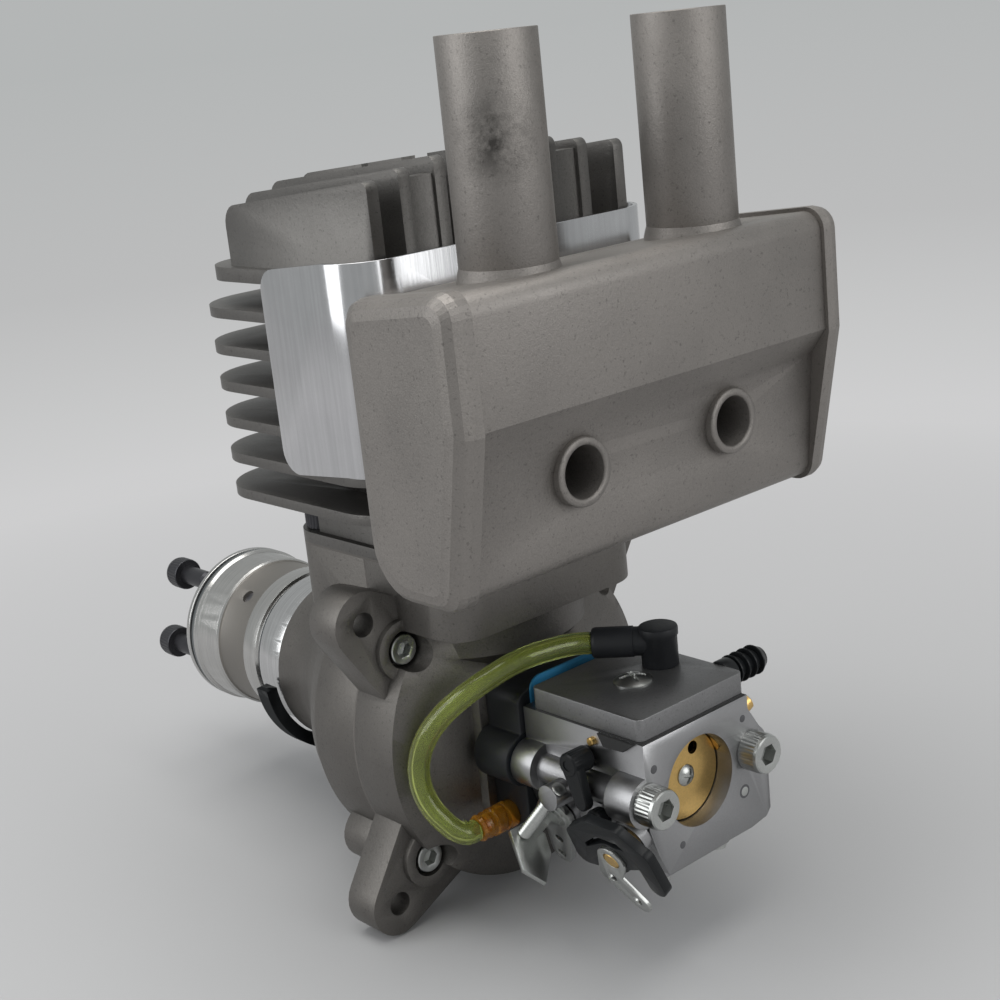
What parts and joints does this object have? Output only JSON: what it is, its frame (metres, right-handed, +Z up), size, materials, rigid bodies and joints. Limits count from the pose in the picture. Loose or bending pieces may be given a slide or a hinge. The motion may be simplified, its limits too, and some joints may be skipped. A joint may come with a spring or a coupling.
{
  "type": "model aircraft engine",
  "caption": "Air-cooled single-cylinder two-stroke petrol engine for a model aircraft, with rear carburettor, twin-outlet muffler, heat shield and propeller hub.",
  "frame": {"origin": "crankshaft axis where it meets the rear faces of the four mounting lugs", "axes": "+Z up along the cylinder, +Y to the rear (carburettor and muffler), propeller hub at -Y, +X the side with the carburettor levers"},
  "size_m": [0.1066, 0.1944, 0.1882],
  "materials": {
    "case_casting": "as-cast, satin",
    "cylinder_casting": "as-cast, satin",
    "muffler_metal": "bead-blasted, matt",
    "bright_sheet": "polished",
    "machined_aluminium": "machined, bright",
    "carb_casting": "satin",
    "black_steel": "black oxide",
    "zinc_steel": "zinc-plated, bright",
    "dark_steel": "ground",
    "bearing_steel": "ground, bright",
    "gasket_paper": "matt fibre sheet",
    "gasket_blue": "satin",
    "gasket_black": "matt",
    "black_plastic": "satin",
    "black_rubber": "matt",
    "amber_plastic": "translucent, glossy",
    "hose_tube": "translucent, glossy",
    "brass_plate": "satin"
  },
  "bodies": {
    "engine": {"crankcase_front": "case_casting", "crankcase_rear": "case_casting", "crankcase_gasket": "gasket_paper", "crankcase_screws": "zinc_steel", "cylinder": "cylinder_casting", "cylinder_gasket": "gasket_paper", "cylinder_screws": "black_steel", "exhaust_gasket": "gasket_paper", "heat_shield": "bright_sheet", "muffler_shell": "muffler_metal", "muffler_end_plates": "muffler_metal", "muffler_bolt_tubes": "muffler_metal", "muffler_screws": "black_steel", "exhaust_stacks": "muffler_metal", "rear_bearing": "bearing_steel", "front_bearing": "bearing_steel", "shaft_seal": "black_rubber", "ignition_sensor": "black_plastic", "sensor_screws": "zinc_steel", "reed_cage": "machined_aluminium", "reed_petals": "black_steel", "intake_insulator": "black_rubber", "intake_gasket": "gasket_blue", "carburetor_body": "carb_casting", "pump_gasket": "gasket_black", "pump_cover": "carb_casting", "pump_cover_screw": "zinc_steel", "metering_diaphragm": "gasket_black", "metering_cover": "carb_casting", "metering_cover_screws": "zinc_steel", "fuel_inlet": "black_rubber", "pulse_elbow": "black_rubber", "pulse_fitting": "amber_plastic", "pulse_hose": "hose_tube", "carburetor_screws": "zinc_steel", "throttle_spring": "zinc_steel"},
    "crank": {"crankshaft": "bearing_steel", "hub_key": "dark_steel", "prop_hub": "machined_aluminium", "hub_magnet": "dark_steel", "prop_washer": "machined_aluminium", "prop_bolts": "black_steel"},
    "piston_group": {"piston": "machined_aluminium", "piston_ring": "dark_steel", "wrist_pin": "bearing_steel", "pin_circlips": "black_steel"},
    "rod_group": {"connecting_rod": "machined_aluminium", "crank_pin": "bearing_steel", "rod_bearings": "bearing_steel"},
    "throttle": {"throttle_shaft": "zinc_steel", "throttle_plate": "brass_plate", "throttle_lever": "zinc_steel"},
    "choke": {"choke_shaft": "brass_plate", "choke_plate": "brass_plate", "choke_plate_screw": "zinc_steel", "choke_lever": "black_plastic", "choke_arm": "zinc_steel"},
    "stop_screw": {"idle_screw": "zinc_steel"},
    "high_needle": {"high_speed_needle": "black_plastic"},
    "low_needle": {"low_speed_needle": "black_plastic"}
  },
  "joints": [
    {"name": "crank_spin", "type": "hinge", "parent": "engine", "child": "crank", "pos_m": [0, 0, 0], "axis": [0, 1, 0], "continuous": true},
    {"name": "piston_slide", "type": "slide", "parent": "engine", "child": "piston_group", "axis": [0, 0, 1], "range_m": [0, 0.03]},
    {"name": "rod_swing", "type": "hinge", "parent": "piston_group", "child": "rod_group", "pos_m": [0, -0.0095, 0.045], "axis": [0, 1, 0], "range_deg": [-14.5, 14.5]},
    {"name": "throttle_turn", "type": "hinge", "parent": "engine", "child": "throttle", "pos_m": [0, 0.0322, -0.001], "axis": [0.9135, 0, -0.4067], "range_deg": [0, 75], "stiffness_Nm_per_rad": 0.02, "springref_deg": -22.92},
    {"name": "choke_turn", "type": "hinge", "parent": "engine", "child": "choke", "pos_m": [0, 0.0529, -0.001], "axis": [0.9135, 0, -0.4067], "range_deg": [0, 75]},
    {"name": "stop_screw_turn", "type": "hinge", "parent": "engine", "child": "stop_screw", "pos_m": [0.0216, 0.0323, -0.0069], "axis": [0, 0.6637, 0.748], "range_deg": [-360, 360]},
    {"name": "high_needle_turn", "type": "hinge", "parent": "engine", "child": "high_needle", "pos_m": [0.018, 0.042, 0.0062], "axis": [1, 0, 0], "range_deg": [-20, 30]},
    {"name": "low_needle_turn", "type": "hinge", "parent": "engine", "child": "low_needle", "pos_m": [0.018, 0.0453, -0.0064], "axis": [1, 0, 0], "range_deg": [-270, 270]}
  ]
}
